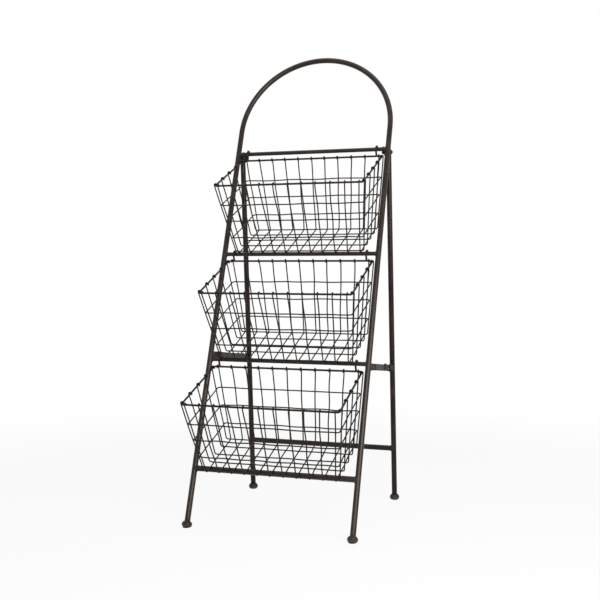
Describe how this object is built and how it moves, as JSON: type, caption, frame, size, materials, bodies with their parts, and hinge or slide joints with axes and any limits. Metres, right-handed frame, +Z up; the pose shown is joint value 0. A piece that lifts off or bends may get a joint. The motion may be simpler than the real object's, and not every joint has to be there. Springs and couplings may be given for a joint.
{
  "type": "basket stand",
  "caption": "Free-standing folding metal stand with an arched handle and stepped tiers of tapered wire baskets hooked on cross bars, for displaying goods.",
  "frame": {"origin": "on the floor, below the centre of the stand's bounding box", "axes": "+Z up, -Y towards the front where the baskets open, +X to the right as seen from the front"},
  "size_m": [0.5048, 0.5798, 1.3695],
  "materials": {
    "frame_finish": "dark oil-rubbed bronze paint, satin",
    "wire_finish": "dark bronze-black paint, satin",
    "stay_finish": "grey-brown paint, satin",
    "fastener_finish": "blackened, worn",
    "foot_finish": "dark bronze paint, satin"
  },
  "bodies": {
    "front_frame": {"front_frame_tube": "frame_finish", "top_bar": "frame_finish", "second_bar": "frame_finish", "third_bar": "frame_finish", "bottom_bar": "frame_finish", "front_left_foot": "foot_finish", "front_right_foot": "foot_finish", "left_hinge_lug": "frame_finish", "left_pivot_bolt": "fastener_finish", "left_pivot_nut": "fastener_finish", "left_front_stay_lug": "stay_finish", "left_stay_hinge_pin": "fastener_finish", "right_hinge_lug": "frame_finish", "right_pivot_bolt": "fastener_finish", "right_pivot_nut": "fastener_finish", "right_front_stay_lug": "stay_finish", "right_stay_hinge_pin": "fastener_finish"},
    "rear_frame": {"rear_cross_bar": "frame_finish", "rear_left_leg": "frame_finish", "rear_left_foot": "foot_finish", "rear_right_leg": "frame_finish", "rear_right_foot": "foot_finish", "left_rear_stay_lug": "stay_finish", "left_stay_catch_pin": "fastener_finish", "right_rear_stay_lug": "stay_finish", "right_stay_catch_pin": "fastener_finish"},
    "left_stay": {"left_stay_strap": "stay_finish"},
    "right_stay": {"right_stay_strap": "stay_finish"},
    "top_basket": {"top_basket_rim": "wire_finish", "top_basket_hooks": "wire_finish", "top_basket_hoops": "wire_finish", "top_basket_lengthwise_wires": "wire_finish", "top_basket_cross_wires": "wire_finish"},
    "middle_basket": {"middle_basket_rim": "wire_finish", "middle_basket_hooks": "wire_finish", "middle_basket_hoops": "wire_finish", "middle_basket_lengthwise_wires": "wire_finish", "middle_basket_cross_wires": "wire_finish"},
    "bottom_basket": {"bottom_basket_rim": "wire_finish", "bottom_basket_hooks": "wire_finish", "bottom_basket_hoops": "wire_finish", "bottom_basket_lengthwise_wires": "wire_finish", "bottom_basket_cross_wires": "wire_finish"}
  },
  "joints": [
    {"name": "rear_fold", "type": "hinge", "parent": "front_frame", "child": "rear_frame", "pos_m": [0, 0.19259, 1.059], "axis": [-1, 0, 0], "range_deg": [0, 17]},
    {"name": "left_stay_swing", "type": "hinge", "parent": "front_frame", "child": "left_stay", "pos_m": [-0.2325, -0.00607, 0.45816], "axis": [0, -0.1186, -0.9929], "range_deg": [0, 76.5]},
    {"name": "right_stay_swing", "type": "hinge", "parent": "front_frame", "child": "right_stay", "pos_m": [0.2325, -0.01315, 0.43881], "axis": [0, 0.1153, 0.9933], "range_deg": [0, 76.5]},
    {"name": "top_basket_lift", "type": "slide", "parent": "front_frame", "child": "top_basket", "axis": [0, -0.3937, 0.9193], "range_m": [0, 0.015]},
    {"name": "middle_basket_lift", "type": "slide", "parent": "front_frame", "child": "middle_basket", "axis": [0, -0.3791, 0.9254], "range_m": [0, 0.015]},
    {"name": "bottom_basket_lift", "type": "slide", "parent": "front_frame", "child": "bottom_basket", "axis": [0, -0.3419, 0.9397], "range_m": [0, 0.015]}
  ],
  "couplings": [
    {"joint": "left_stay_swing", "follows": "rear_fold", "ratio": 4.5},
    {"joint": "right_stay_swing", "follows": "rear_fold", "ratio": 4.5}
  ]
}
